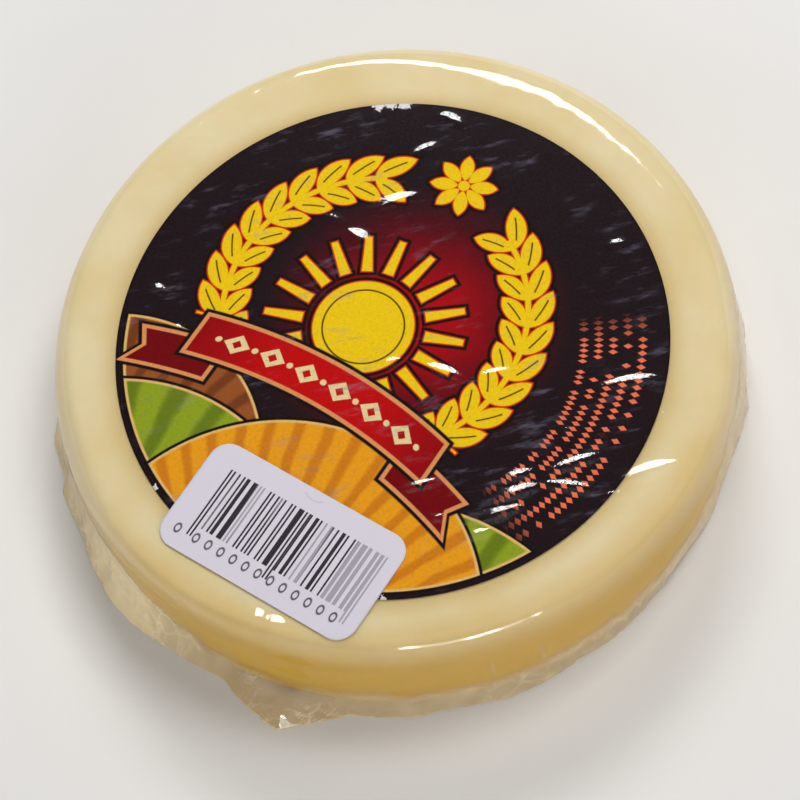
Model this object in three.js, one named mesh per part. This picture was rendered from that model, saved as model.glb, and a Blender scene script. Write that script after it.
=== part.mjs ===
import * as THREE from 'three';

// A small round wheel of cheese sealed in clear film, with a round label on top of it and a small
// sticker that overlaps the label's edge. Millimetres, +Z up. The origin is the centre of the base,
// on the surface that the pack rests on. The side that faces the viewer is -Y.

// Driving dimensions of the wheel
const wheelRadius = 53;
const wheelHeight = 22;
const shoulderWidth = 4.5; // the top edge rounds off as a quarter ellipse, this far in
const shoulderDrop = 8.5; // and this far down the wall
const wallSwell = 0.35; // how far the wall stands out at its middle

// The loose film round the foot
const skirtHeight = 7; // where the film leaves the wall
const skirtCurve = 1.4; // over 1, the film sweeps out towards its foot
const leastFlare = -0.4; // where the film is drawn in under the wheel
const meanFlare = 0.15;
const flareSwing = 2.4;
const flareAzimuth = -150; // the side where the film is loosest, in degrees from +X
const footLip = 0.35; // height of the foot's edge
const footUndercut = 0.3; // how far the film tucks in under that edge

// Folds that stand out of the foot: where, how far out, how high they run up the wall, and how wide
// they are in degrees on the clockwise and on the other side
const folds = [
  { azimuth: -120, reach: 4.5, top: 9, clockwise: 11, counter: 10 }, // the pointed ear
  { azimuth: -154, reach: 1.9, top: 8, clockwise: 11, counter: 14 }, // the flange beside it
  { azimuth: -175, reach: 0.9, top: 11, clockwise: 3, counter: 9 }, // where that flange starts
  { azimuth: 176, reach: 0.9, top: 16, clockwise: 7, counter: 7 },
  { azimuth: -81, reach: 0.6, top: 7, clockwise: 7, counter: 5 },
  { azimuth: -66, reach: 0.4, top: 7, clockwise: 6, counter: 4 },
  { azimuth: -17, reach: 1.5, top: 18, clockwise: 11, counter: 8 }, // the loose right side
  { azimuth: -6, reach: 1.5, top: 18, clockwise: 8, counter: 8 },
  { azimuth: 11, reach: 1.1, top: 18, clockwise: 6, counter: 6 },
  { azimuth: 48, reach: 0.9, top: 9, clockwise: 9, counter: 7 },
  { azimuth: 112, reach: 1.1, top: 8, clockwise: 7, counter: 9 },
];

// Shallow pleats between the folds: how many round the foot, how deep, and where each set starts
const pleats = [
  { count: 17, depth: 0.16, start: 0.4 },
  { count: 29, depth: 0.12, start: 1.9 },
];

// The label and the sticker
const labelRadius = 42.2;
const labelX = -0.35;
const labelY = -2.5;
const paperThickness = 0.2;
const paperClearance = 0.1; // between the sticker and what it lies on
const stickerLength = 34.4;
const stickerWidth = 18.7;
const stickerCorner = 3.2;
const stickerX = -22.2;
const stickerY = -31;
const stickerAngle = -44.2; // its long side, in degrees from +X
const rampStart = 0.4; // past the label's edge, where the sticker starts to come down
const rampLength = 2;

// Worked out from the sizes above
const flatRadius = wheelRadius - shoulderWidth; // the flat of the top

// How finely the shapes are divided
const wallHeights = [footLip, 1.3, 2.6, 4, 5.5, skirtHeight, 9, 11];
const spokes = 144;
const shoulderSteps = 8;
const labelSides = 120;
const stickerColumns = 20;
const stickerMiddleRows = 6;
const stickerCornerRows = 4;

const radians = THREE.MathUtils.degToRad;
const smoothstep = THREE.MathUtils.smoothstep;

// Signed angle in degrees from one azimuth to another, between -180 and 180.
function turnTo(azimuth, other) {
  return THREE.MathUtils.euclideanModulo(azimuth - other + 180, 360) - 180;
}

// A fold's height at an azimuth: a tent with its own width on each side.
function foldReach(fold, azimuth) {
  const turn = turnTo(azimuth, fold.azimuth);
  const width = turn < 0 ? fold.clockwise : fold.counter;
  return fold.reach * Math.max(0, 1 - Math.abs(turn) / width);
}

function pleatReach(pleat, azimuth) {
  return pleat.depth * Math.sin(pleat.count * radians(azimuth) + pleat.start);
}

// How far the film's foot stands out from the wall at an azimuth in degrees, without its folds.
function flareReach(azimuth) {
  const swing = meanFlare + flareSwing * Math.cos(radians(azimuth - flareAzimuth));
  let reach = Math.max(leastFlare, swing);
  for (const pleat of pleats) reach += pleatReach(pleat, azimuth);
  return reach;
}

// How much of its reach a fold or the flare keeps at a height: all at the foot, none at its top.
function sweep(height, top) {
  return Math.max(0, 1 - height / top) ** skirtCurve;
}

// The wheel's own wall below the shoulder, swelling gently at its middle.
function wallRadius(height) {
  const share = height / (wheelHeight - shoulderDrop);
  return wheelRadius + wallSwell * Math.sin(Math.PI * share);
}

// The film outside the wall: the two are one above the skirt, and the film sweeps out below it.
function filmRadius(azimuth, height) {
  let radius = wallRadius(height) + flareReach(azimuth) * sweep(height, skirtHeight);
  for (const fold of folds) radius += foldReach(fold, azimuth) * sweep(height, fold.top);
  return radius;
}

// Height of the pack's top and shoulder at a distance from its axis.
function topHeight(distance) {
  const past = Math.max(0, distance - flatRadius) / shoulderWidth;
  return wheelHeight - shoulderDrop + shoulderDrop * Math.sqrt(1 - past ** 2);
}

// A closed skin through rings of points, each end closed by a fan of triangles to its pole.
function closedSkin(firstPole, rings, lastPole) {
  const points = [firstPole, ...rings.flat(), lastPole];
  const count = rings[0].length;
  const last = points.length - 1;
  const faces = [];
  for (let spoke = 0; spoke < count; spoke++) {
    const next = (spoke + 1) % count;
    faces.push(0, 1 + next, 1 + spoke);
    for (let ring = 0; ring < rings.length - 1; ring++) {
      const low = 1 + ring * count;
      const high = low + count;
      faces.push(low + spoke, low + next, high + next);
      faces.push(low + spoke, high + next, high + spoke);
    }
    faces.push(last - count + spoke, last - count + next, last);
  }
  return solidGeometry(points, faces);
}

function solidGeometry(points, faces) {
  const geometry = new THREE.BufferGeometry().setFromPoints(points);
  geometry.setIndex(faces);
  geometry.computeVertexNormals();
  return geometry;
}

// One ring of the pack: radiusAt gives the distance from the axis for each azimuth in degrees.
function ringAt(height, radiusAt) {
  const ring = [];
  for (let spoke = 0; spoke < spokes; spoke++) {
    const azimuth = (360 * spoke) / spokes;
    const distance = radiusAt(azimuth);
    const angle = radians(azimuth);
    ring.push(new THREE.Vector3(distance * Math.cos(angle), distance * Math.sin(angle), height));
  }
  return ring;
}

// The sealed wheel: flat base, flared film foot, swelling wall, rounded shoulder and flat top.
function packGeometry() {
  const rings = [];
  for (const share of [0.35, 0.75]) {
    rings.push(ringAt(0, () => share * wheelRadius));
  }
  rings.push(ringAt(0, (azimuth) => filmRadius(azimuth, footLip) - footUndercut));
  for (const height of wallHeights) {
    rings.push(ringAt(height, (azimuth) => filmRadius(azimuth, height)));
  }
  for (let step = 0; step <= shoulderSteps; step++) {
    const angle = (Math.PI / 2) * (step / shoulderSteps);
    const distance = flatRadius + shoulderWidth * Math.cos(angle);
    const height = wheelHeight - shoulderDrop + shoulderDrop * Math.sin(angle);
    rings.push(ringAt(height, () => distance));
  }
  rings.push(ringAt(wheelHeight, () => flatRadius / 2));
  return closedSkin(new THREE.Vector3(0, 0, 0), rings, new THREE.Vector3(0, 0, wheelHeight));
}

function labelGeometry() {
  const geometry = new THREE.CylinderGeometry(labelRadius, labelRadius, paperThickness, labelSides);
  geometry.rotateX(Math.PI / 2);
  return geometry;
}

// Half the sticker's length at a distance from its long axis: shorter where the corners round off.
function stickerHalfLength(across) {
  const past = Math.max(0, Math.abs(across) - (stickerWidth / 2 - stickerCorner));
  return stickerLength / 2 - stickerCorner + Math.sqrt(Math.max(0, stickerCorner ** 2 - past ** 2));
}

// Rows across the sticker, closer together round its corners.
function stickerRows() {
  const straight = stickerWidth / 2 - stickerCorner;
  const rows = [];
  for (let step = 0; step < stickerCornerRows; step++) {
    const angle = (Math.PI / 2) * (step / stickerCornerRows);
    rows.push(-straight - stickerCorner * Math.cos(angle));
  }
  for (let step = 0; step <= stickerMiddleRows; step++) {
    rows.push(-straight + (2 * straight * step) / stickerMiddleRows);
  }
  for (let step = stickerCornerRows - 1; step >= 0; step--) {
    rows.push(-rows[step]);
  }
  return rows;
}

// What the sticker lies on: the pack's top and shoulder, and the label with a short ramp off its edge.
function underSticker(x, y) {
  const pastLabel = Math.hypot(x - labelX, y - labelY) - labelRadius - rampStart;
  const onLabel = 1 - smoothstep(pastLabel, 0, rampLength);
  return topHeight(Math.hypot(x, y)) + onLabel * paperThickness + paperClearance;
}

// A thin rounded rectangle that follows what it lies on: a sheet of rows and columns with four walls.
function stickerGeometry() {
  const rows = stickerRows();
  const columns = stickerColumns + 1;
  const along = new THREE.Vector2(1, 0).rotateAround(new THREE.Vector2(), radians(stickerAngle));
  const across = new THREE.Vector2(-along.y, along.x);
  const under = [];
  const over = [];
  for (const row of rows) {
    for (let column = 0; column < columns; column++) {
      const length = stickerHalfLength(row) * ((2 * column) / stickerColumns - 1);
      const x = stickerX + along.x * length + across.x * row;
      const y = stickerY + along.y * length + across.y * row;
      const height = underSticker(x, y);
      under.push(new THREE.Vector3(x, y, height));
      over.push(new THREE.Vector3(x, y, height + paperThickness));
    }
  }
  const faces = [];
  const lift = under.length; // from a point below to the one above it
  const addQuad = (a, b, c, d) => faces.push(a, b, c, a, c, d);
  for (let row = 0; row < rows.length - 1; row++) {
    for (let column = 0; column < stickerColumns; column++) {
      const corner = row * columns + column;
      const above = corner + columns;
      addQuad(lift + corner, lift + corner + 1, lift + above + 1, lift + above);
      addQuad(corner, above, above + 1, corner + 1);
    }
    const left = row * columns;
    const right = left + stickerColumns;
    addQuad(left, lift + left, lift + left + columns, left + columns);
    addQuad(right, right + columns, lift + right + columns, lift + right);
  }
  const lastRow = (rows.length - 1) * columns;
  for (let column = 0; column < stickerColumns; column++) {
    const far = lastRow + column;
    addQuad(column, column + 1, lift + column + 1, lift + column);
    addQuad(far, lift + far, lift + far + 1, far + 1);
  }
  return solidGeometry([...under, ...over], faces);
}

function namedMesh(name, geometry, color, roughness) {
  const material = new THREE.MeshStandardMaterial({ color, roughness, metalness: 0 });
  const mesh = new THREE.Mesh(geometry, material);
  mesh.name = name;
  return mesh;
}

const pack = new THREE.Group();
pack.add(namedMesh('sealed_pack', packGeometry(), 0xddc999, 0.25));

const label = namedMesh('round_label', labelGeometry(), 0x2a1a1e, 0.4);
label.position.set(labelX, labelY, wheelHeight + paperThickness / 2);
pack.add(label);

pack.add(namedMesh('barcode_sticker', stickerGeometry(), 0xd6d0d8, 0.6));

export default pack;
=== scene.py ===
import math
import bpy
import numpy as np
from mathutils import Matrix, Vector


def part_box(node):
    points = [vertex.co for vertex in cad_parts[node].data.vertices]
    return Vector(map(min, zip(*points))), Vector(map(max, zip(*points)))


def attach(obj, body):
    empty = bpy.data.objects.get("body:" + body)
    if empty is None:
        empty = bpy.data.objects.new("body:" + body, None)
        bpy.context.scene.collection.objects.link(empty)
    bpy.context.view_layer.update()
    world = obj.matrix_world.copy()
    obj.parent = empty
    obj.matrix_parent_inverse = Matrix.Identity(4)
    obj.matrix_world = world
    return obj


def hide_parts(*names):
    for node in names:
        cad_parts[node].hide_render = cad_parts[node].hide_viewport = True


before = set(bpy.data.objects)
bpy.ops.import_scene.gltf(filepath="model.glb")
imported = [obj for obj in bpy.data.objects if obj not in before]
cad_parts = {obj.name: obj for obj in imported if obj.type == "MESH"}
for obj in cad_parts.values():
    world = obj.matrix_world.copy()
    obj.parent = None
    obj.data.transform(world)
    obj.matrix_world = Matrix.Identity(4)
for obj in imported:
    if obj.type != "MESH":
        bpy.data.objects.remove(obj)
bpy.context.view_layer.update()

# A small round wheel of cheese in clear shrink film, with a round label under the film and a sticker
# on top of it. Shapes are worked out in millimetres and turned into metres when a mesh is made.
metre = 1000  # millimetres

packHigh = np.array(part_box("sealed_pack")[1]) * metre
labelLow, labelHigh = (np.array(corner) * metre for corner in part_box("round_label"))
labelCentre = (labelLow + labelHigh) / 2
labelRadius = (labelHigh[0] - labelLow[0]) / 2

# The wheel and the loose film round its foot, with the solid's sizes and formulas. The shoulder is
# fuller on the side facing the viewer and wider on the far right.
wheel = {
    "radius": 53, "height": packHigh[2], "shoulderWidth": 4.5, "shoulderDrop": 8.5, "swell": 0.35,
    "skirtHeight": 7, "skirtCurve": 1.4, "footLip": 0.35, "footUndercut": 0.3,
    "leastFlare": -0.4, "meanFlare": 0.15, "flareSwing": 2.4, "flareAzimuth": -150,
    "nearFuller": 3.0,
    "softAzimuth": 45, "softSpread": 35, "softWidth": 3.5, "softFuller": 0.5,
}
topRadius = wheel["radius"] - wheel["shoulderWidth"]
folds = [  # azimuth, reach, height it runs up to, width clockwise and counter-clockwise in degrees
    (-120, 4.5, 9, 11, 10), (-154, 1.9, 8, 11, 14), (-175, 0.9, 11, 3, 9), (176, 0.9, 16, 7, 7),
    (-81, 0.6, 7, 7, 5), (-66, 0.4, 7, 6, 4), (-17, 1.5, 18, 11, 8), (-6, 1.5, 18, 8, 8),
    (11, 1.1, 18, 6, 6), (48, 0.9, 9, 9, 7), (112, 1.1, 8, 7, 9),
]
pleats = [(17, 0.16, 0.4), (29, 0.12, 1.9)]  # count round the foot, depth, start


def between(value, low, high):
    # 0 below low, 1 above high, and 3t^2 - 2t^3 in between
    share = np.clip((value - low) / (high - low), 0, 1)
    return share * share * (3 - 2 * share)


def turnTo(azimuth, other):
    # the angle from one azimuth to another, from -180 to 180 degrees
    return (azimuth - other + 180) % 360 - 180


def sweep(height, top):
    # (1 - height / top) ^ curve: all of a fold at the foot, none at its top
    return np.maximum(0, 1 - height / top) ** wheel["skirtCurve"]


def filmRadius(azimuth, height):
    # radius + swell * sin(pi * height / wall) + flare and pleats at the foot + a tent for each fold
    wall = wheel["height"] - wheel["shoulderDrop"]
    radius = wheel["radius"] + wheel["swell"] * np.sin(np.pi * height / wall)
    flare = wheel["meanFlare"] + wheel["flareSwing"] * np.cos(np.radians(azimuth - wheel["flareAzimuth"]))
    flare = np.maximum(wheel["leastFlare"], flare)
    for count, depth, start in pleats:
        flare = flare + depth * np.sin(count * np.radians(azimuth) + start)
    radius = radius + flare * sweep(height, wheel["skirtHeight"])
    for where, reach, top, clockwise, counter in folds:
        turn = turnTo(azimuth, where)
        width = np.where(turn < 0, clockwise, counter)
        radius = radius + reach * np.maximum(0, 1 - np.abs(turn) / width) * sweep(height, top)
    return radius


def nearTo(azimuth, where, width):
    # 1 at an azimuth, falling off as exp(-(turn / width)^2)
    return np.exp(-(turnTo(azimuth, where) / width) ** 2)


def softSide(azimuth):
    return nearTo(azimuth, wheel["softAzimuth"], wheel["softSpread"])


def flatRadius(azimuth):
    # where the flat of the top ends
    return topRadius - wheel["softWidth"] * softSide(azimuth)


def fullness(azimuth):
    # the power of the shoulder's curve, from 2 for a quarter ellipse
    near = between(-np.sin(np.radians(azimuth)), 0.1, 0.75)
    return 2 + wheel["nearFuller"] * near + wheel["softFuller"] * softSide(azimuth)


def shoulder(turn, azimuth):
    # (width, drop) * (cos, sin) / (cos^n + sin^n)^(1/n), from 0 at the wall to 90 degrees at the top
    power, start = fullness(azimuth), flatRadius(azimuth)
    cosine, sine = np.cos(turn), np.maximum(np.sin(turn), 0)
    spread = (np.maximum(cosine, 0) ** power + sine ** power) ** (-1 / power)
    distance = start + (wheel["radius"] - start) * spread * cosine
    return distance, wheel["height"] - wheel["shoulderDrop"] * (1 - spread * sine)


def topHeight(x, y):
    # the flat top, then the shoulder's curve down to the wall
    azimuth = np.degrees(np.arctan2(y, x))
    power, start = fullness(azimuth), flatRadius(azimuth)
    past = np.clip((np.hypot(x, y) - start) / (wheel["radius"] - start), 0, 1)
    return wheel["height"] - wheel["shoulderDrop"] * (1 - (1 - past ** power) ** (1 / power))


def hashed(cell, seed):
    # a number from 0 to 1 that looks random, for each whole-numbered place
    key = cell @ np.array([73856093, 19349663, 83492791]) + seed * 40503
    key = (key ^ (key >> 13)) * 1274126177 & 0xFFFFFFFF
    key = (key ^ (key >> 16)) * 668265263 & 0xFFFFFFFF
    return (key >> 8) / 0xFFFFFF


def softNoise(points, size, seed):
    # a random number for each corner of a lattice of cubes, blended smoothly inside each cube
    place = points / size
    cell = np.floor(place).astype(np.int64)
    share = place - cell
    share = share * share * (3 - 2 * share)
    total = np.zeros(points.shape[:-1])
    for corner in np.ndindex(2, 2, 2):
        weight = np.prod(np.where(corner, share, 1 - share), axis=-1)
        total += weight * hashed(cell + corner, seed)
    return total


def facets(points, size, seed):
    # one random point in each cube of a lattice; the distance to the second nearest less that to
    # the nearest is 0 along the edges between cells, and grows towards their middles
    place = points / size
    cell = np.floor(place).astype(np.int64)
    nearest = np.full(points.shape[:-1], 9.0)
    second = nearest.copy()
    for offset in np.ndindex(3, 3, 3):
        near = cell + np.array(offset) - 1
        jitter = np.stack([hashed(near, seed + axis) for axis in range(3)], -1)
        distance = np.linalg.norm(near + jitter - place, axis=-1)
        second = np.minimum(second, np.maximum(nearest, distance))
        nearest = np.minimum(nearest, distance)
    return (second - nearest) * size


def softWaves(points, waves):
    # a sum of soft noises about 0, each with its size, height and seed
    return sum(height * (softNoise(points, size, seed) - 0.5) for size, height, seed in waves)


def ringPoints(distance, azimuth, level):
    # places at a distance from the axis, for azimuths in degrees
    x, y = distance * np.cos(np.radians(azimuth)), distance * np.sin(np.radians(azimuth))
    return np.stack([x, y, np.broadcast_to(level, x.shape)], -1)


# Putting surfaces into meshes
def meshPiece(name, points, quads, triangles, material):
    mesh = bpy.data.meshes.new(name)
    corners = np.concatenate([quads.ravel(), triangles.ravel()]).astype(np.int32)
    starts = np.concatenate([np.arange(len(quads)) * 4, quads.size + np.arange(len(triangles)) * 3])
    mesh.vertices.add(len(points))
    mesh.vertices.foreach_set("co", (points / metre).astype(np.float32).ravel())
    mesh.loops.add(len(corners))
    mesh.loops.foreach_set("vertex_index", corners)
    mesh.polygons.add(len(starts))
    mesh.polygons.foreach_set("loop_start", starts.astype(np.int32))
    mesh.update(calc_edges=True)
    mesh.validate()
    mesh.polygons.foreach_set("use_smooth", np.ones(len(starts), bool))
    mesh.materials.append(material)
    piece = bpy.data.objects.new(name, mesh)
    bpy.context.scene.collection.objects.link(piece)
    return piece


def closedSkin(name, groups, material):
    # groups of rings (rows, columns, 3) from the underside to the top; a group has half the columns of
    # the one below it, joined by a row of triangles, and each end is closed by a fan to a pole
    points, quads, triangles = [], [], []
    start, lower = 0, 0
    for group in groups:
        rows, columns, _ = group.shape
        points.append(group.reshape(-1, 3))
        quads.append(gridQuads(rows, columns, start))
        column = np.arange(columns)
        here, following = start + column, start + (column + 1) % columns
        if lower:
            left, middle, right = (start - lower + (2 * column + shift) % lower for shift in (0, 1, 2))
            joins = (left, middle, here), (middle, following, here), (middle, right, following)
            triangles += [np.stack(three, -1) for three in joins]
        start, lower = start + rows * columns, columns
    last = start - lower
    points += [groups[0][0].mean(axis=0)[None], groups[-1][-1].mean(axis=0)[None]]
    around = np.arange(groups[0].shape[1])
    triangles.append(np.stack([np.full(len(around), start), np.roll(around, -1), around], -1))
    triangles.append(np.stack([last + column, last + np.roll(column, -1), np.full(lower, start + 1)], -1))
    points, quads, triangles = (np.concatenate(rows) for rows in (points, quads, triangles))
    return meshPiece(name, points, quads, triangles, material)


def gridQuads(rows, columns, start):
    # four corners for each cell between one ring and the next
    column = np.arange(columns)
    following = (column + 1) % columns
    low = (start + np.arange(rows - 1) * columns)[:, None]
    high = low + columns
    return np.stack([low + column, low + following, high + following, high + column], -1).reshape(-1, 4)


# Materials are sums of numbers carried by nodes
def colour(red, green, blue):
    # screen colour 0 to 255 into the linear colour that a shader takes
    share = np.array([red, green, blue]) / 255
    return (*np.where(share < 0.04045, share / 12.92, ((share + 0.055) / 1.055) ** 2.4), 1)


def fill(node, values):
    # sets inputs by their name or number, each to a value, a socket or a term
    for name, value in values.items():
        value = value.socket if isinstance(value, Term) else value
        if isinstance(value, bpy.types.NodeSocket):
            node.id_data.links.new(value, node.inputs[name])
        else:
            node.inputs[name].default_value = value
    return node


def newNode(tree, kind, values):
    return fill(tree.nodes.new("ShaderNode" + kind), values)


class Term:
    # a number on its way through a material's nodes, so that a pattern can be written as plain sums
    def __init__(self, tree, socket):
        self.tree, self.socket = tree, socket

    def math(self, operation, *others):
        node = newNode(self.tree, "Math", dict(enumerate((self, *others))))
        node.operation = operation
        return Term(self.tree, node.outputs[0])

    def __add__(self, other):
        return self.math("ADD", other)

    def __sub__(self, other):
        return self.math("SUBTRACT", other)

    def __rsub__(self, other):
        return -self + other

    def __mul__(self, other):
        return self.math("MULTIPLY", other)

    def __truediv__(self, other):
        return self.math("DIVIDE", other)

    def __neg__(self):
        return self.math("MULTIPLY", -1)

    def __abs__(self):
        return self.math("ABSOLUTE")

    __radd__, __rmul__ = __add__, __mul__

    def power(self, exponent):
        return self.math("POWER", exponent)

    def least(self, other):
        return self.math("MINIMUM", other)

    def most(self, other):
        return self.math("MAXIMUM", other)

    def wave(self):
        return self.math("SINE")

    def floored(self):
        return self.math("FLOOR")

    def angleFrom(self, other):
        return self.math("ARCTAN2", other)

    def repeated(self, pitch):
        return self.math("FLOORED_MODULO", pitch) - pitch / 2

    def clipped(self):
        return self.least(1).most(0)


def across(a, b):
    # sqrt(a^2 + b^2)
    return (a * a + b * b).math("SQRT")


def smooth(value, low, high):
    # 0 below low, 1 above high, smooth in between
    node = newNode(value.tree, "MapRange", {"Value": value, "From Min": low, "From Max": high})
    node.interpolation_type = "SMOOTHSTEP"
    return Term(value.tree, node.outputs["Result"])


def inside(distance, blur=0.07):
    # 1 where the distance to a shape's edge is negative, with a soft edge
    return (0.5 - distance / (2 * blur)).clipped()


def mixed(tree, under, over, share):
    # one colour over another, each a colour or a socket
    node = tree.nodes.new("ShaderNodeMix")
    node.data_type = "RGBA"
    return fill(node, {6: under, 7: over, 0: share}).outputs[2]


def layered(tree, tone, *layers):
    # the layers, each a colour and its share, laid over the tone in turn
    for over, share in layers:
        tone = mixed(tree, tone, over, share)
    return tone


def blended(tree, share, under, over):
    # one shader over another
    return newNode(tree, "MixShader", {0: share, 1: under, 2: over}).outputs[0]


def newMaterial(name):
    material = bpy.data.materials.new(name)
    material.use_nodes = True
    tree = material.node_tree
    return material, tree, tree.nodes["Principled BSDF"]


def objectPlace(tree, centre=(0, 0), turn=0):
    # Object coordinates in millimetres, from a centre and turned so that +X lies at the angle given
    away = Matrix.Rotation(math.radians(-turn), 3, "Z") @ Vector((centre[0], centre[1], 0))
    mapping = newNode(tree, "Mapping", {
        "Vector": newNode(tree, "TexCoord", {}).outputs["Object"], "Location": -away,
        "Rotation": (0, 0, math.radians(-turn)), "Scale": (metre, metre, metre)})
    return mapping.outputs["Vector"]


def parts(tree, vector):
    # a vector's three numbers
    return [Term(tree, entry) for entry in newNode(tree, "SeparateXYZ", {0: vector}).outputs]


def noise(tree, vector, size, detail=3, roughness=0.5, stretch=(1, 1, 1)):
    # cloudy noise with blotches of this size in millimetres
    mapping = newNode(tree, "Mapping", {"Scale": [amount / size for amount in stretch], "Vector": vector})
    values = {"Scale": 1, "Detail": detail, "Roughness": roughness, "Vector": mapping.outputs[0]}
    return Term(tree, newNode(tree, "TexNoise", values).outputs[0])


def bump(tree, height, distance):
    # a relief of height times distance in millimetres
    values = {"Strength": 1.0, "Distance": distance / metre, "Height": height}
    return newNode(tree, "Bump", values).outputs["Normal"]


# The cheese
cheese = {
    "gap": 0.06, "below": 0.12,  # clear of the film on the wall and the top
    "footWidth": 2.2, "footRise": 3.2,  # rounding of the lower edge
    "foot": 0.1,  # height of the base
    "columns": 360, "baseRows": 15, "topRows": 40, "wallRows": 24, "edgeRows": 14,
    "dip": 0.12, "dipRadius": 30,  # the top's middle is this much lower
    "lumps": 0.05, "lumpSize": 9.0,
    "cloudSize": 14, "speckSize": 2.2, "relief": 0.05,
    "nearSide": (5, 45),  # from and to how far towards the viewer the near side's painted shade comes in
    "rim": (47, 52.5), "rimShade": 0.42,  # painted shade in the deep colour at the near rim of the top
    "wall": (22.2, 14.5), "wallDeepAndShade": 0.35, "nearWallShade": 0.6,  # deep colour down the wall all round, partly the cheese's own and partly painted shade, with more painted shade on the near side
    "shaded": (3.5, -0.5), "shadedHeight": (18, 21), "shadeShare": 0.8,  # beside the label's edge
    # the deep colour is both the cheese's own deeper yellow and painted shade
    "cream": colour(236, 220, 176), "straw": colour(230, 208, 152), "deep": colour(209, 162, 22),
    "shade": colour(220, 186, 120),
}


def cheeseWall(level):
    # the cheese's radius at a height, without its lumps: rounded at the foot, swelling above it
    low, high = cheese["footRise"], wheel["height"] - wheel["shoulderDrop"]
    past = np.clip((low - level) / (low - cheese["foot"]), 0, 1)
    swollen = wheel["radius"] + wheel["swell"] * np.sin(np.pi * np.clip(level, 0, high) / high)
    return swollen - cheese["footWidth"] * (1 - np.sqrt(1 - past ** 2))


def cheeseSkin():
    # a profile of base, quarter-ellipse foot, swelling wall, shoulder and top for every azimuth,
    # shifted a little by soft noise
    azimuth = np.linspace(-180, 180, cheese["columns"], endpoint=False)[None, :]
    gap, foot = cheese["gap"], cheese["foot"]
    low, high = cheese["footRise"], wheel["height"] - wheel["shoulderDrop"]
    quarter = np.linspace(0, np.pi / 2, cheese["edgeRows"])[:, None]
    baseRadius = wheel["radius"] - gap - cheese["footWidth"]
    base = np.linspace(2, baseRadius, cheese["baseRows"] + 1)[:-1, None]
    wall = np.linspace(low, high, cheese["wallRows"])[1:-1, None]
    wall = np.concatenate([foot + (low - foot) * (1 - np.cos(quarter)), wall])
    top = np.linspace(1, 0.02, cheese["topRows"])[1:, None] * (flatRadius(azimuth) - gap)
    shoulderRadius, shoulderLevel = shoulder(quarter, azimuth)
    rows = [
        (base, foot), (cheeseWall(wall) - gap, wall),
        (shoulderRadius - gap, shoulderLevel - cheese["below"]), (top, wheel["height"] - cheese["below"]),
    ]
    distance, level = (np.concatenate([
        np.broadcast_to(row[which], (len(row[0]), azimuth.size)) for row in rows]) for which in (0, 1))
    rings = ringPoints(distance, azimuth, level)
    lumps = cheese["lumps"] * (softNoise(rings, cheese["lumpSize"], 3) - 1)
    rings[..., :2] *= (1 + lumps / wheel["radius"])[..., None]
    inner = 1 - between(distance, cheese["dipRadius"], topRadius)
    rings[..., 2] += np.where(level > high, lumps - cheese["dip"] * inner, 0)
    return rings


def cheeseMaterial():
    # cream on top; deeper yellow down the wall, partly the cheese's own colour and partly painted shade,
    # with painted shade at the rim and down the wall on the side that faces the viewer, and a soft
    # painted shade beside the label's edge
    material, tree, shader = newMaterial("cheeseFlesh")
    place = objectPlace(tree)
    x, y, height = parts(tree, place)
    clouds = noise(tree, place, cheese["cloudSize"], 4)
    specks = noise(tree, place, cheese["speckSize"], 3)
    nearSide = smooth(-y, *cheese["nearSide"])
    # painted shade: the deep colour at the near rim, and down the wall, most on the near side
    nearRimShade = smooth(across(x, y), *cheese["rim"]) * nearSide * cheese["rimShade"]
    wallToneAndShade = smooth(height, *cheese["wall"]) * (cheese["wallDeepAndShade"] + nearSide * cheese["nearWallShade"])
    fromLabel = across(x - labelCentre[0], y - labelCentre[1]) - labelRadius
    besideLabel = smooth(fromLabel, *cheese["shaded"]) * smooth(height, *cheese["shadedHeight"])
    tone = layered(
        tree, cheese["cream"], (cheese["straw"], smooth(clouds, 0.3, 0.75)),
        (cheese["straw"], smooth(specks, 0.5, 0.75) * 0.25), (cheese["deep"], nearRimShade),
        (cheese["deep"], wallToneAndShade), (cheese["shade"], besideLabel * cheese["shadeShare"]))
    fill(shader, {
        "Base Color": tone, "Roughness": 0.45 + specks * 0.2, "Specular IOR Level": 0.3,
        "Subsurface Weight": 0.5, "Subsurface Radius": (1.0, 0.6, 0.2), "Subsurface Scale": 0.004,
        "Normal": bump(tree, clouds + specks * 0.3, cheese["relief"])})
    return material


cheesePiece = closedSkin("cheese", [cheeseSkin()], cheeseMaterial())
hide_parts("sealed_pack")
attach(cheesePiece, "root")
print("cheese made")

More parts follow.
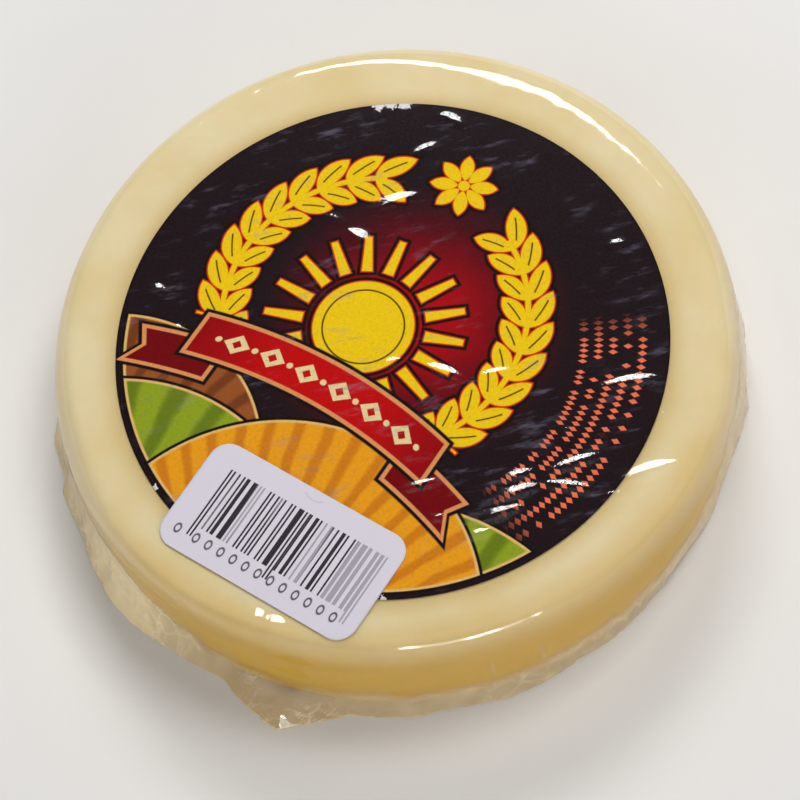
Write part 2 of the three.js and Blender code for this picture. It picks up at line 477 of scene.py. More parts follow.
# The film: small ripples over the label and the cheese, each with its middle, length, direction in
# degrees and width in millimetres
ripples = [
    (-33.9, 14.8, 5.6, -31, 1.7), (-31.9, 7.5, 4.2, -34, 1.2), (-1.7, 15.8, 6.4, -52, 2.2),
    (4.6, 21.0, 10.0, 7, 1.8), (-5.0, 20.5, 4.8, -34, 1.1), (16.4, 33.5, 5.4, -43, 1.5),
    (11.2, 29.2, 6.4, 15, 1.2), (36.5, 5.4, 3.8, 5, 1.2), (6.5, -9.7, 8.0, -35, 1.5),
    (-1.1, -6.3, 4.8, 5, 1.3), (14.0, -11.9, 8.0, 0, 1.4), (33.1, -18.1, 12.0, -4, 1.6),
    (36.8, -24.6, 3.8, 1, 1.1), (32.2, -33.2, 11.4, 9, 2.2), (27.0, -35.6, 7.0, -7, 1.3),
    (20.5, -32.6, 11.2, -20, 1.5), (22.2, -29.2, 12.0, 7, 1.6), (13.6, -29.2, 7.4, 5, 1.5),
    (12.6, -31.9, 9.6, 6, 2.0), (9.6, -34.6, 9.8, 7, 2.0), (6.0, -37.0, 6.4, 6, 1.5),
    (0.9, -33.0, 5.0, -14, 1.1), (1.6, -35.7, 4.0, -40, 0.9), (-0.6, -27.3, 9.4, 1, 1.3),
    (-2.6, -36.7, 4.8, -22, 1.0), (38.7, -13.7, 2.4, 28, 0.8),
    (22.4, -23.6, 2.8, -5, 0.9), (-25.7, -44.2, 6.2, -34, 2.0),
    (-28.2, -42.6, 5.0, -26, 2.2), (-25.3, -45.8, 5.0, -34, 1.0),
    (-28.2, 39.3, 2.0, -40, 0.7), (-12.9, 45.9, 2.6, 4, 0.8), (-7.8, 46.7, 3.6, -2, 0.8),
]
film = {
    "wallColumns": 960, "baseRows": 4, "looseRows": 32, "wallRows": 7, "shoulderRows": 22,
    "topRows": 53, "innerRows": 46,
    "fineTop": 7.5, "fineCurve": 1.2,  # where the loose rows end, and how they crowd at the foot
    "baseLevel": 0.03, "baseCurve": 0.6,
    "overLabel": 0.06, "labelRamp": (0.1, 4.2),  # how far the label lifts it, fading past its edge
    "steep": 0.147, "steeper": 0.0014,  # a ripple's slope, and how much more for each mm nearer
    "bend": 0.04, "blunt": 0.01,
    "waves": [(6.0, 0.035, 11), (2.6, 0.0175, 12), (1.3, 0.007, 13)],  # size, height, seed
    "farWaviness": 3.5, "farRadius": (43, 47), "farSide": (0, 30),
    "stretch": [(7.0, 0.06, 23)], "shoulderPull": [(3.6, 0.07, 25)],
    "drawnIn": 0.02, "clear": 0.03,  # this far inside the plain radius, and clear of the cheese
    "pullFade": (1.0, 1.5), "topBlend": (0.5, 1.0),  # radians round the shoulder
    "crumple": [(5.5, 0.16, 21), (2.7, 0.12, 24)],  # size of the facets, depth, seed
    "facetEdge": 0.4, "shiftSize": 6.0, "shift": 4, "squeeze": (1, 1, 0.6),
    "looseTop": 6.8, "standing": 0.4,  # below this share of the loose height it stands off fully
    "looseSides": [(-12, 28, 10.5), (-168, 25, 5.0)],  # azimuth, width, how much higher
    "hazeColour": colour(247, 222, 170), "haze": 0.5, "rimHaze": 0.8, "baseHaze": 0.12,
    "tall": (1, 1, 0.5), "hazeEdge": [(3.2, 0.22, 31)], "edgeFade": (2.4, 0.7),
    "patches": [(2.4, 0.3, 32)],
    "milkier": [(-120, 12, -0.45), (-154, 14, 0.9)],  # azimuth, width, how much milkier
    "creases": (-124, 16, 0.15), "creaseGain": 1.2,  # azimuth, width, least share elsewhere
    "creaseLine": (0.03, 0.28), "creaseSize": 6.0, "creaseShown": (0.4, 0.7),
    "underLevel": (0.15, 0.35), "underRadius": (48, 52),
    "rimLevel": (0.35, 0.8), "rimRadius": (51.5, 52.5),
    "seams": [(-86, 3, 13.4), (-77.5, 6, 13.2)],  # azimuth, from and to what height
    "seamHaze": 0.2, "seamWidth": 0.4, "seamEnd": 2,
    "mirror": 0.055, "mirrorEdge": 0.5, "grainSize": 0.45, "grainGain": 0.07, "grainLess": 0.02,
}
sticker = {
    "length": 34.4, "width": 18.7, "corner": 3.2, "x": -22.2, "y": -31.0, "turn": -44.2,
    "thickness": 0.12, "clear": 0.07, "waves": [(8.0, 0.03, 41)], "columns": 96, "rows": 56,
    "barsLeft": -12.93, "barsLength": 28.05, "barsTop": 5.6, "barsFoot": -4.7, "barsCount": 95,
    "barsStep": 3.8, "barsSeed": 31.5, "barsGain": 97.3, "guardDrop": 1.8, "guardHalf": 0.44,
    "ringLeft": -12.3, "ringPitch": 2.22, "ringHeight": -6.3, "firstRing": -14.5,
    "ringCount": 12, "ringRadius": 0.45, "ringLine": 0.12, "ringSquash": 0.66,
    "scuffPlace": (0.3, 9.9), "scuffRadius": 2.3, "scuffTop": 8.2,
    "paper": colour(217, 211, 220), "ink": colour(30, 14, 28), "faded": colour(164, 157, 166),
}


def stickerPlace(x, y):
    # distances along and across the sticker
    along = np.array([np.cos(np.radians(sticker["turn"])), np.sin(np.radians(sticker["turn"]))])
    x, y = x - sticker["x"], y - sticker["y"]
    return x * along[0] + y * along[1], y * along[0] - x * along[1]


def awayFromSticker(x, y):
    # 0 under the sticker, rising to 1 a little outside it
    along, sideways = stickerPlace(x, y)
    outside = np.maximum(np.abs(along) - sticker["length"] / 2, np.abs(sideways) - sticker["width"] / 2)
    return between(outside, 0.1, 0.9)


def onLabel(x, y):
    # 1 over the label, falling to 0 just outside its edge
    outside = np.hypot(x - labelCentre[0], y - labelCentre[1]) - labelRadius
    return 1 - between(outside, *film["labelRamp"])


def rippleHeight(x, y):
    # the highest of the ridges, each a roof of even slope over a lens: slope * (width * (1 -
    # (s / half length)^2) - distance from its crest), twice as steep on the side facing the viewer.
    # The slope makes up for that of the surface below, so that each ridge tips the same way.
    highest = np.zeros_like(x)
    for middleX, middleY, length, direction, width in ripples:
        cosine, sine = np.cos(np.radians(direction)), np.sin(np.radians(direction))
        s = (x - middleX) * cosine + (y - middleY) * sine
        t = (y - middleY) * cosine - (x - middleX) * sine - film["bend"] * s * s / length
        rise = topHeight(middleX - width * sine, middleY + width * cosine) - topHeight(middleX, middleY)
        slope = film["steep"] - film["steeper"] * middleY + rise / width
        aside = np.sqrt(np.where(t < 0, 2 * t, t) ** 2 + film["blunt"])
        highest = np.maximum(highest, slope * (width * (1 - (2 * s / length) ** 2) - aside))
    return highest


def filmTop(x, y, rippled=1.0):
    # the pack's top or shoulder, the step over the label, soft waves and ripples
    height = topHeight(x, y) + film["overLabel"] * onLabel(x, y)
    far = between(np.hypot(x, y), *film["farRadius"]) * between(y, *film["farSide"])
    waves = softWaves(np.stack([x, y, 0 * x], -1), film["waves"]) * (1 + film["farWaviness"] * far)
    return height + rippled * (waves + rippleHeight(x, y) * awayFromSticker(x, y))


def looseHeight(azimuth):
    # how far up the film stands off the wall: a height, and more at the two sides
    total = film["looseTop"]
    for where, width, higher in film["looseSides"]:
        total = total + higher * nearTo(azimuth, where, width)
    return total


def crumpled(points):
    # places shifted by soft noise and squeezed, so that the facets are uneven and tall
    shift = np.stack([softNoise(points, film["shiftSize"], seed) for seed in (51, 52, 53)], -1)
    return (points + film["shift"] * shift) * film["squeeze"]


def filmWall():
    # fine rings from the underside, round the foot and up the wall, with the facets of the loose
    # film pushed in and out, and never inside the cheese; then rings over the shoulder
    azimuth = np.linspace(-180, 180, film["wallColumns"], endpoint=False)[None, :]
    lip, fineTop = wheel["footLip"], film["fineTop"]
    loose = lip + (fineTop - lip) * np.linspace(0, 1, film["looseRows"]) ** film["fineCurve"]
    upper = np.linspace(fineTop, wheel["height"] - wheel["shoulderDrop"], film["wallRows"])[1:]
    level = np.concatenate([loose, upper])[:, None]
    distance = filmRadius(azimuth, level)
    level = np.broadcast_to(level, distance.shape)
    points = ringPoints(distance, azimuth, level)
    places, looseLevel = crumpled(points), looseHeight(azimuth)
    standing = 1 - between(level, film["standing"] * looseLevel, looseLevel)
    lift = softWaves(points, film["stretch"]) - film["drawnIn"]
    for size, depth, seed in film["crumple"]:
        lift += depth * (1 - facets(places, size, seed) / (film["facetEdge"] * size)) * standing
    distance = np.maximum(distance + lift, cheeseWall(level) - cheese["gap"] + film["clear"])
    wall = ringPoints(distance, azimuth, level)
    shares = np.linspace(0.05, 1, film["baseRows"])[:, None] ** film["baseCurve"]
    base = ringPoints((distance[:1] - wheel["footUndercut"]) * shares, azimuth, film["baseLevel"])

    quarter = np.linspace(0, np.pi / 2, film["shoulderRows"])[1:, None]
    distance, level = shoulder(quarter, azimuth)
    points = ringPoints(distance, azimuth, level)
    pull = softWaves(points, film["stretch"] + film["shoulderPull"]) - film["drawnIn"]
    distance = distance + (1 - between(quarter, *film["pullFade"])) * pull
    rounded = ringPoints(distance, azimuth, level)
    top = filmTop(rounded[..., 0], rounded[..., 1])
    rounded[..., 2] += between(quarter, *film["topBlend"]) * (top - level)
    return np.concatenate([base, wall, rounded])


def filmCrown(columns, shares):
    # rings across the top, each a share of the way out to where the flat ends
    azimuth = np.linspace(-180, 180, columns, endpoint=False)[None, :]
    rings = ringPoints(shares[:, None] * flatRadius(azimuth), azimuth, 0)
    rings[..., 2] = filmTop(rings[..., 0], rings[..., 1])
    return rings


def filmHaze(rings):
    # how milky the film is: where it stands off the wall, in patches, with its creases, its seams
    # and the rim of its foot whiter, and less under the wheel
    z, radius = rings[..., 2], np.hypot(rings[..., 0], rings[..., 1])
    azimuth = np.degrees(np.arctan2(rings[..., 1], rings[..., 0]))
    tall = rings * film["tall"]
    edge = looseHeight(azimuth) * (1 + softWaves(tall, film["hazeEdge"]))
    below, above = film["edgeFade"]
    haze = film["haze"] * (1 - between(z, edge - below, edge + above))
    haze *= 1.05 + softWaves(tall, film["patches"])
    for where, width, more in film["milkier"]:
        haze *= 1 + more * nearTo(azimuth, where, width)
    where, width, least = film["creases"]
    shown = between(softNoise(rings, film["creaseSize"], 33), *film["creaseShown"])
    shown *= least + (1 - least) * nearTo(azimuth, where, width)
    places = crumpled(rings)
    for size, _, seed in film["crumple"]:
        line = 1 - between(facets(places, size, seed), *film["creaseLine"])
        haze *= 1 + film["creaseGain"] * line * shown
    under = (1 - between(z, *film["underLevel"])) * (1 - between(radius, *film["underRadius"]))
    haze = haze * (1 - under) + film["baseHaze"] * under
    wide, end = film["seamWidth"], film["seamEnd"]
    for where, low, high in film["seams"]:
        line = nearTo(azimuth + wide * np.sin(z / 2), where, wide)
        line *= between(z, low, low + end) * (1 - between(z, high - end, high))
        haze = np.maximum(haze, line * film["seamHaze"])
    rim = (1 - between(z, *film["rimLevel"])) * between(radius, *film["rimRadius"])
    return np.clip(np.maximum(haze, rim * film["rimHaze"]), 0, 1)


def filmMaterial():
    # clear with a thin film's reflection, 0.055 + 0.5 * (1 - cosine)^5, grained over the paper, and
    # milky where the haze is
    material, tree, gloss = newMaterial("clearFilm")
    place = objectPlace(tree)
    x, y, z = parts(tree, place)
    fromLabel = across(x - labelCentre[0], y - labelCentre[1])
    overPaper = smooth(fromLabel, labelRadius + 0.3, labelRadius - 0.3) * smooth(z, 20, 21)
    grain = smooth(noise(tree, place, film["grainSize"], 1, 0.6), 0.3, 0.7)
    milk = newNode(tree, "Attribute", {})
    milk.attribute_name = "haze"
    clear = newNode(tree, "BsdfTransparent", {})
    milky = newNode(tree, "BsdfPrincipled", {"Base Color": film["hazeColour"], "Roughness": 0.4})
    body = blended(tree, milk.outputs["Fac"], clear.outputs[0], milky.outputs[0])
    facing = Term(tree, newNode(tree, "LayerWeight", {"Blend": 0.5}).outputs["Facing"])
    mirror = facing.power(5) * film["mirrorEdge"] + film["mirror"]
    mirror = mirror + overPaper * (grain * film["grainGain"] - film["grainLess"])
    fill(gloss, {"Base Color": (1, 1, 1, 1), "Metallic": 1, "Roughness": 0.09})
    whole = blended(tree, mirror, body, gloss.outputs[0])
    fill(tree.nodes["Material Output"], {"Surface": whole})
    return material


wallRings = filmWall()
crownRings = filmCrown(film["wallColumns"] // 2, np.linspace(1, 0.5, film["topRows"] + 1)[1:])
innerRings = filmCrown(film["wallColumns"] // 4, np.linspace(0.5, 0.01, film["innerRows"] + 1)[1:])
filmPiece = closedSkin("film", [wallRings, crownRings, innerRings], filmMaterial())
wallHaze = filmHaze(wallRings)
clearTop = np.zeros(crownRings[..., 0].size + innerRings[..., 0].size)
haze = np.concatenate([wallHaze.ravel(), clearTop, wallHaze[0, :1], [0]]).astype(np.float32)
filmPiece.data.attributes.new("haze", "FLOAT", "POINT").data.foreach_set("value", haze)
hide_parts("sealed_pack")
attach(filmPiece, "root")
print("film made")

# The label: a disc of paper that follows the film's waves just under it
label = {
    "thickness": 0.04, "under": 0.03, "slack": 0.02, "follows": 0.55, "columns": 288, "rows": 60,
    "turn": -44.2, "middle": -5,  # the direction of its own +X, and where its motifs' axis crosses it
    "glowPlace": (1, 5), "glowRadius": 22, "hillEdge": 41,
    "hills": [  # middle, radius, colours, furrows
        (-27, -38, 24, "brown", "brownDark", 51), (31, -52, 34, "green", "greenDark", 45),
        (-17, -52, 30, "green", "greenDark", 39), (9, -46, 31, "amber", "amberDark", 60),
    ],
    "sun": 7.8, "sunLine": 6.3, "rays": 18, "rayHalf": 1.35, "rayTaper": 0.055, "rayReach": (9.6, 15.6),
    "ear": {"radius": 23.5, "rise": 3, "pitch": 4.6, "length": 6.6, "width": 3.0, "turn": 32, "out": 2.1,
            "stem": 0.42, "leaves": 5, "line": 0.13, "lineReach": 1.9},
    "flowerHeight": 28.5, "petals": 8, "petalPlace": (3.1, 1.7), "petalRadius": 2.75, "flowerEye": 0.9,
    "bow": 0.006, "bowTop": 7.6, "ribbonHeight": 11, "ribbonHalf": 22, "ribbonWide": 4.0,
    "tailHeight": 15, "tailEnds": (16, 30), "tailWide": 3.6, "lozengePitch": 6, "lozengeEnd": 18.8,
    "stitchStart": 26, "stitchRow": 2.2, "stitchCell": 0.95, "stitchRing": (33.7, 5.5),
    "stitchTurn": (0.077, 0.506), "stitchRadius": 31,
    "chips": [(81.4, 1.6), (78.8, 1.5), (76.1, 1.7), (-158.1, 0.8), (-102.7, 1.0)],  # azimuth, size
    "ground": colour(32, 19, 23), "scuffed": colour(128, 122, 140), "glow": colour(182, 4, 12),
    "dusk": colour(92, 8, 20), "gold": colour(246, 206, 16), "goldEdge": colour(214, 52, 10),
    "goldLine": colour(92, 62, 12), "outline": colour(24, 12, 14), "cream": colour(236, 214, 158),
    "border": colour(228, 152, 92), "ribbon": colour(200, 6, 8), "ribbonDark": colour(120, 4, 10),
    "small": colour(244, 120, 82), "amber": colour(240, 163, 26), "amberDark": colour(206, 116, 22),
    "pale": colour(236, 192, 112), "green": colour(148, 166, 34), "greenDark": colour(92, 112, 22),
    "brown": colour(158, 86, 38), "brownDark": colour(108, 52, 24), "paper": colour(236, 230, 232),
}


def labelSkin():
    # a disc whose top lies a little under the film, its underside a thickness lower
    turn = np.linspace(0, 2 * np.pi, label["columns"], endpoint=False)[None, :]
    radii = labelRadius * np.linspace(0.02, 1, label["rows"])[:, None]
    x, y = labelCentre[0] + radii * np.cos(turn), labelCentre[1] + radii * np.sin(turn)
    lowest = labelLow[2] - label["slack"]
    over = np.minimum(filmTop(x, y, label["follows"]) - label["under"], labelHigh[2] - label["slack"])
    over = np.maximum(over, lowest + label["thickness"])
    bottom, top = (np.stack([x, y, level], -1) for level in (np.full_like(x, lowest), over))
    return np.concatenate([bottom, top[::-1]])


def hillsOver(tree, paint, u, v, clouds):
    # fields at the label's foot, each with furrows that fan out from its top
    edge = across(u, v) - label["hillEdge"]
    for hillX, hillY, size, light, dark, furrows in label["hills"]:
        hill = (across(u - hillX, v - hillY) - size).most(edge)
        furrow = ((u - hillX).angleFrom(v - hillY + 14) * furrows + clouds * 2).wave()
        face = mixed(tree, label[light], label[dark], smooth(furrow, -0.2, 0.9) * 0.75)
        paint = layered(
            tree, paint, (label["outline"], inside(hill - 0.5, 0.1)), (label["pale"], inside(hill)),
            (face, inside(hill + 0.4, 0.12)))
    return paint


def spokeParts(u, v, count, start=0.0):
    # places along and across the nearest of a number of spokes round the middle
    pitch = 2 * math.pi / count
    turn = (v.angleFrom(u) + start * pitch).repeated(pitch)
    return across(u, v) * turn.math("COSINE"), across(u, v) * turn.wave()


def goldOver(tree, paint, m, v, bow):
    # in gold: a sun with rays, two ears of wheat that curve up round it, mirrored in the motifs'
    # axis, and a rosette above. Each grain is a lens between two arcs, and each place looks at the
    # grain of its own step and the one before it.
    rayX, rayY = spokeParts(m, v, label["rays"], 0.5)
    near, far = label["rayReach"]
    ray = abs(rayY) - label["rayHalf"] + rayX * label["rayTaper"]
    ray = ray.most(abs(rayX - (near + far) / 2) - (far - near) / 2)
    gold = (across(m, v) - label["sun"]).least(ray)
    line = abs(across(m, v) - label["sunLine"]) - 0.14
    ear = label["ear"]
    leftRight, rise = abs(m), v - ear["rise"]
    sine, cosine = math.sin(math.radians(ear["turn"])), math.cos(math.radians(ear["turn"]))
    arc = rise.angleFrom(leftRight) * ear["radius"]
    aside = abs(across(leftRight, rise) - ear["radius"])
    lens = (ear["length"] / 2) ** 2 / ear["width"]
    lensRadius, lensShift = lens + ear["width"] / 4, lens - ear["width"] / 4
    for back in (0, 1):
        step = arc.repeated(ear["pitch"]) + (back * ear["pitch"] - 1)
        missing = abs((arc / ear["pitch"]).floored() - back) * 2 - (2 * ear["leaves"] + 1)
        along = step * cosine + (aside - ear["out"]) * sine
        side = (aside - ear["out"]) * cosine - step * sine
        gold = gold.least((across(along, abs(side) + lensShift) - lensRadius).most(missing))
        rib = (abs(side) - ear["line"]).most(abs(along) - ear["lineReach"])
        line = line.least(rib.most(missing))
    gold = gold.least((aside - ear["stem"]).most(abs(arc) - (ear["leaves"] + 0.5) * ear["pitch"]))
    gold = gold.most(-bow - label["bowTop"])
    high = v - label["flowerHeight"]
    petalX, petalY = spokeParts(m, high, label["petals"])
    out, shift = label["petalPlace"]
    petal = across(petalX - out, abs(petalY) + shift) - label["petalRadius"]
    gold = gold.least(petal).least(across(m, high) - label["flowerEye"])
    return layered(
        tree, paint, (label["outline"], inside(gold - 0.75, 0.12)),
        (label["goldEdge"], inside(gold - 0.22)), (label["gold"], inside(gold)),
        (label["goldLine"], inside(line.most(gold + 0.3))))


def ribbonOver(tree, paint, m, bow):
    # a blank ribbon that follows a bow, with folded tails and a row of lozenges and dots
    leftRight, onTail = abs(m), abs(bow + label["tailHeight"])
    fromMiddle = abs(bow + label["ribbonHeight"])
    start, end = label["tailEnds"]
    tail = (leftRight - end + (4 - onTail) * 0.55).most(start - leftRight)
    tail = tail.most(onTail - label["tailWide"])
    ribbon = (leftRight - label["ribbonHalf"]).most(fromMiddle - label["ribbonWide"])
    for shape, tone in ((tail, "ribbonDark"), (ribbon, "ribbon")):
        shade = mixed(tree, label[tone], label["ribbonDark"], smooth(leftRight, 6, 24) * 0.7)
        paint = layered(
            tree, paint, (label["outline"], inside(shape - 0.6, 0.12)), (label["border"], inside(shape)),
            (shade, inside(shape + 0.65)))
    pitch = label["lozengePitch"]
    cell = abs(m.repeated(pitch))
    lozenge = (cell * 0.85 + fromMiddle - 1.8).most(0.8 - (cell + fromMiddle))
    dot = across((m + pitch / 2).repeated(pitch), fromMiddle) - 0.5
    row = lozenge.least(dot).most(leftRight - label["lozengeEnd"])
    return layered(tree, paint, (label["cream"], inside(row)))


def stitchesOver(tree, paint, u, v):
    # rows of small stitches on part of a ring, with about a quarter of them left out
    radius, angle = across(u, v), v.angleFrom(u)
    row, cell = radius - label["stitchStart"], angle * label["stitchRadius"]
    place = newNode(tree, "CombineXYZ", {
        0: (cell / label["stitchCell"]).floored(), 1: (row / label["stitchRow"]).floored()})
    draw = tree.nodes.new("ShaderNodeTexWhiteNoise")
    draw.noise_dimensions = "2D"
    fill(draw, {"Vector": place.outputs[0]})
    knot = abs(cell.repeated(label["stitchCell"])) * 1.9 + abs(row.repeated(label["stitchRow"])) - 0.72
    knot = knot.most((0.25 - Term(tree, draw.outputs["Value"])) * 9)
    ring, half = label["stitchRing"]
    middle, spread = label["stitchTurn"]
    patch = (abs(radius - ring) - half).most(abs(angle - middle) - spread)
    return layered(tree, paint, (label["small"], inside(knot.most(patch), 0.08)))


def labelMaterial():
    # a dark ground with a red glow, the motifs, the print's grain, streaks where the film over it
    # is scuffed, and bare paper where the edge is chipped
    material, tree, shader = newMaterial("labelPrint")
    place = objectPlace(tree, labelCentre[:2], label["turn"])
    u, v, _ = parts(tree, place)
    m = u - label["middle"]
    bow = v + m * m * label["bow"]
    grain, clouds = noise(tree, place, 0.5, 3), noise(tree, place, 6, 3)
    glowX, glowY = label["glowPlace"]
    glow = 1 - across(u - glowX, v - glowY) / label["glowRadius"] + (clouds - 0.5) * 0.2
    paint = layered(
        tree, label["ground"], (label["dusk"], smooth(glow, -0.15, 0.45)),
        (label["glow"], smooth(glow, 0.2, 0.9)))
    paint = hillsOver(tree, paint, u, v, clouds)
    paint = goldOver(tree, paint, m, v, bow)
    paint = ribbonOver(tree, paint, m, bow)
    paint = stitchesOver(tree, paint, u, v)
    level = objectPlace(tree)
    scuffs = smooth(noise(tree, level, 1.5, 4, 0.62, (0.28, 1, 1)), 0.52, 0.78)
    scuffs = scuffs * smooth(noise(tree, level, 11, 2), 0.44, 0.62)
    paint = layered(
        tree, paint, (label["ground"], smooth(grain, 0.5, 0.8) * 0.16), (label["scuffed"], scuffs * 0.48))
    for azimuth, size in label["chips"]:
        turn = math.radians(azimuth - label["turn"])
        chip = across(u - labelRadius * math.cos(turn), v - labelRadius * math.sin(turn))
        chip = chip - size * 0.6 - (grain - 0.5) * 2.2
        paint = layered(tree, paint, (label["paper"], inside(chip, 0.05)))
    fill(shader, {"Base Color": paint, "Roughness": 0.5 + grain * 0.2, "Specular IOR Level": 0.04})
    return material


labelPiece = closedSkin("label", [labelSkin()], labelMaterial())
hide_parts("round_label")
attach(labelPiece, "root")
print("label made")


# The sticker: a rounded sheet that lies on the film and bends down over the shoulder
def stickerSheet():
    # rows across it, each as long as the rounded corners allow, over and under a thin wall
    half, corner = sticker["width"] / 2, sticker["corner"]
    turn = np.linspace(-np.pi / 2, np.pi / 2, sticker["rows"])
    sideways = half * np.sin(turn)[:, None]
    past = np.maximum(0, np.abs(sideways) - (half - corner))
    reach = sticker["length"] / 2 - corner + np.sqrt(np.maximum(0, corner ** 2 - past ** 2))
    along = reach * np.linspace(-1, 1, sticker["columns"])[None, :]
    sideways = np.broadcast_to(sideways, along.shape)
    cosine, sine = np.cos(np.radians(sticker["turn"])), np.sin(np.radians(sticker["turn"]))
    x = sticker["x"] + along * cosine - sideways * sine
    y = sticker["y"] + along * sine + sideways * cosine
    under = filmTop(x, y, 0.0) + sticker["clear"]
    over = under + sticker["thickness"] + softWaves(np.stack([x, y, 0 * x], -1), sticker["waves"])
    points = np.concatenate([np.stack([x, y, level], -1).reshape(-1, 3) for level in (under, over)])
    rows, columns = x.shape
    grid = np.arange(rows * columns).reshape(rows, columns)
    lift = rows * columns
    left, right = grid[:, :-1], grid[:, 1:]
    a, b, c, d = (part.ravel() for part in (left[:-1], right[:-1], right[1:], left[1:]))
    edge = np.concatenate([grid[0], grid[1:, -1], grid[-1, -2::-1], grid[-2:0:-1, 0]])
    following = np.roll(edge, -1)
    quads = np.concatenate([
        np.stack([a, b, c, d], -1) + lift, np.stack([a, d, c, b], -1),
        np.stack([edge, following, following + lift, edge + lift], -1)])
    piece = meshPiece("sticker", points, quads, np.zeros((0, 3), int), stickerMaterial())
    flat = np.stack([along.ravel(), sideways.ravel()], -1)
    spread = np.concatenate([flat, flat]) / sticker["length"] + 0.5
    corners = np.zeros(len(piece.data.loops), np.int32)
    piece.data.loops.foreach_get("vertex_index", corners)
    sheet = piece.data.uv_layers.new(name="sheet")
    sheet.data.foreach_set("uv", spread[corners].astype(np.float32).ravel())
    return piece


def stickerMaterial():
    # bars from made-up numbers, one for each step of the bar grid, paired at both ends and in the
    # middle, with a row of rings below them and a scuffed arc above
    material, tree, shader = newMaterial("stickerPaper")
    sheet = newNode(tree, "UVMap", {})
    sheet.uv_map = "sheet"
    length = sticker["length"]
    place = newNode(tree, "Mapping", {
        "Vector": sheet.outputs[0], "Location": (-length / 2, -length / 2, 0),
        "Scale": (length, length, length)}).outputs["Vector"]
    s, t, _ = parts(tree, place)
    grain = noise(tree, place, 0.25, 3)

    module, half = sticker["barsLength"] / sticker["barsCount"], sticker["guardHalf"]
    left, right = sticker["barsLeft"], sticker["barsLeft"] + sticker["barsLength"]
    step = ((s - left) / module).floored()
    draw = (step * sticker["barsStep"] + sticker["barsSeed"]).wave() * sticker["barsGain"]
    bars = draw.math("FRACT").math("GREATER_THAN", 0.5)
    guard = abs(s - (left + right) / 2) - half
    for end in (left + half, right - half):
        guard = guard.least(abs(s - end) - half)
    pair = abs((s - left - module / 2 + module).repeated(2 * module)).math("LESS_THAN", module / 2)
    guarded = inside(guard, 0.02)
    bars = bars + guarded * (pair - bars)
    foot = sticker["barsFoot"] - guarded * sticker["guardDrop"]
    field = inside((left - s).most(s - right).most(t - sticker["barsTop"]).most(foot - t), 0.05)
    fade = noise(tree, place, 3.0, 1, 0.5, (1, 0.05, 1))
    faded = smooth(fade + smooth(s, 8, 12.5) * 0.4, 0.56, 0.62)
    ink = mixed(tree, sticker["ink"], sticker["faded"], faded)

    ringY = (t - sticker["ringHeight"]) * sticker["ringSquash"]
    fromFirst = s - sticker["ringLeft"]
    row = across(fromFirst.repeated(sticker["ringPitch"]), ringY)
    first = across(s - sticker["firstRing"], ringY)
    row, first = (abs(away - sticker["ringRadius"]) - sticker["ringLine"] for away in (row, first))
    row = row.most(-fromFirst).most(fromFirst - sticker["ringCount"] * sticker["ringPitch"])
    scuffX, scuffY = sticker["scuffPlace"]
    scuff = abs(across(s - scuffX, t - scuffY) - sticker["scuffRadius"]) - 0.06
    tone = layered(
        tree, sticker["paper"], (ink, bars * field),
        (sticker["ink"], inside(row.least(first), 0.06) * 0.9),
        (sticker["faded"], inside(scuff.most(t - sticker["scuffTop"]), 0.08) * 0.6),
        (sticker["faded"], smooth(grain, 0.55, 0.8) * 0.12))
    fill(shader, {"Base Color": tone, "Roughness": 0.5, "Normal": bump(tree, grain, 0.01)})
    return material


stickerPiece = stickerSheet()
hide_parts("barcode_sticker")
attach(stickerPiece, "root")
print("sticker made")

# Floor, light and camera
studio = {
    "floor": colour(238, 236, 232), "floorShade": colour(232, 229, 224), "shadeSize": 60,
    "floorSize": 4.0, "floorLevel": -0.00002,
    "bright": (0.34, 0.35, 0.37, 1), "dark": (0.04, 0.04, 0.045, 1), "darkFrom": (0.0, 0.35),
}
softboxes = [  # name, place, width, height, power, whether it lights, whether it is mirrored
    ("keySoftbox", (0.30, 0.16, 0.80), 0.30, 0.30, 2.9, True, False),
    ("farSoftbox", (0.125, 0.75, 0.77), 0.43, 0.28, 4.9, True, False),
    ("farPane", (0.155, 0.75, 0.77), 0.37, 0.23, 3.7, False, True),
    ("leftSoftbox", (-0.87, 0.05, 0.20), 0.40, 0.40, 1.15, True, False),
    ("frontSoftbox", (0.03, -0.88, 0.26), 0.45, 0.36, 1.8, True, True),
    ("paneLeft", (-0.187, -0.900, 0.26), 0.06, 0.36, 0.9, False, True),
    ("paneMiddle", (0.059, -0.918, 0.26), 0.06, 0.36, 0.9, False, True),
    ("paneRight", (0.133, -0.910, 0.26), 0.06, 0.36, 0.9, False, True),
    ("paneEnd", (0.309, -0.867, 0.26), 0.03, 0.36, 0.45, False, True),
]


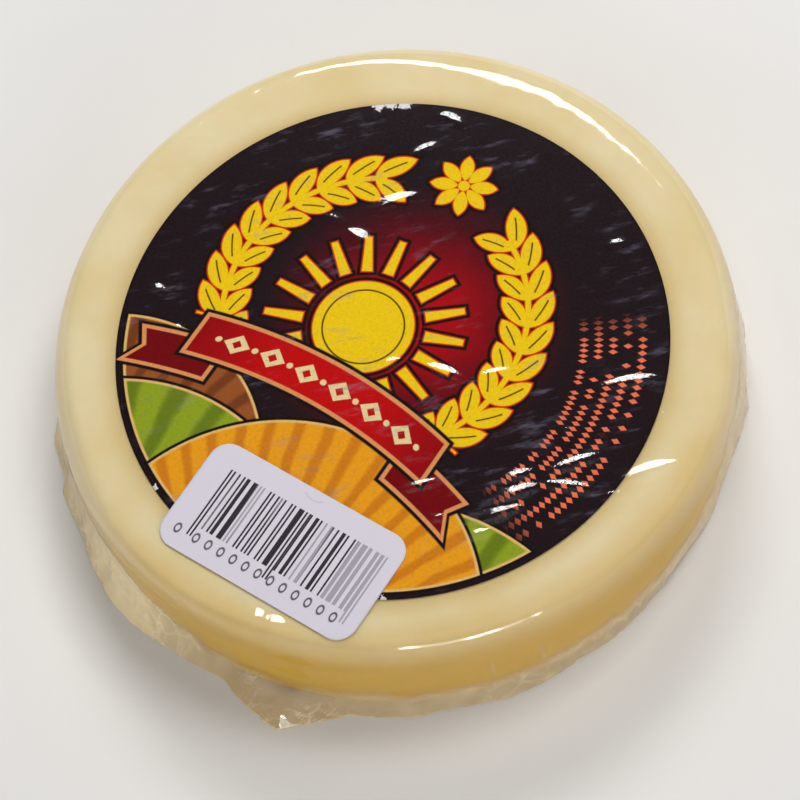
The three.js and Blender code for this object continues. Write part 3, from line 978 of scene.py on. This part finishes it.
def makeFloor():
    half = studio["floorSize"] / 2
    mesh = bpy.data.meshes.new("floor")
    level = studio["floorLevel"]
    corners = [(-half, -half, level), (half, -half, level), (half, half, level), (-half, half, level)]
    mesh.from_pydata(corners, [], [(0, 1, 2, 3)])
    material, tree, shader = newMaterial("paleFloor")
    shade = noise(tree, objectPlace(tree), studio["shadeSize"], 3)
    tone = mixed(tree, studio["floor"], studio["floorShade"], shade)
    fill(shader, {"Base Color": tone, "Roughness": 0.7})
    mesh.materials.append(material)
    floor = bpy.data.objects.new("floor", mesh)
    bpy.context.scene.collection.objects.link(floor)


def aimedAt(place, target=(0, 0, 0.01)):
    return (Vector(target) - Vector(place)).to_track_quat("-Z", "Y").to_euler()


def makeLights():
    for name, place, width, height, power, lights, mirrored in softboxes:
        light = bpy.data.lights.new(name, "AREA")
        light.shape = "RECTANGLE"
        light.size, light.size_y, light.energy = width, height, power
        lamp = bpy.data.objects.new(name, light)
        lamp.location = place
        lamp.rotation_euler = aimedAt(place)
        lamp.visible_diffuse, lamp.visible_glossy = lights, mirrored
        bpy.context.scene.collection.objects.link(lamp)
    world = bpy.data.worlds.new("studio")
    world.use_nodes = True
    tree = world.node_tree
    _, back, _ = parts(tree, newNode(tree, "TexCoord", {}).outputs["Generated"])
    sky = mixed(tree, studio["bright"], studio["dark"], smooth(back, *studio["darkFrom"]))
    fill(tree.nodes["Background"], {"Color": sky})
    bpy.context.scene.world = world


view = {  # the photo's camera, in metres and degrees, looking at the middle of the top
    "distance": 0.440, "elevation": 63.2, "roll": -12.37, "lens": 130.4, "sensor": 36,
    "right": 0.00155, "up": -0.01113,
}


def makeCamera():
    elevation, roll = math.radians(view["elevation"]), math.radians(view["roll"])
    forward = Vector((0, math.cos(elevation), -math.sin(elevation)))
    level = Vector((1, 0, 0))
    upright = level.cross(forward)
    right = math.cos(roll) * level + math.sin(roll) * upright
    up = -math.sin(roll) * level + math.cos(roll) * upright
    target = Vector((0, 0, wheel["height"] / metre))
    place = target - view["distance"] * forward + view["right"] * right + view["up"] * up
    turn = Matrix((right, up, -forward)).transposed().to_4x4()
    data = bpy.data.cameras.new("camera")
    data.lens, data.sensor_width = view["lens"], view["sensor"]
    camera = bpy.data.objects.new("camera", data)
    camera.matrix_world = Matrix.Translation(place) @ turn
    bpy.context.scene.collection.objects.link(camera)
    bpy.context.scene.camera = camera


makeFloor()
makeLights()
makeCamera()
bpy.context.scene.view_settings.view_transform = "Standard"
print("studio made")
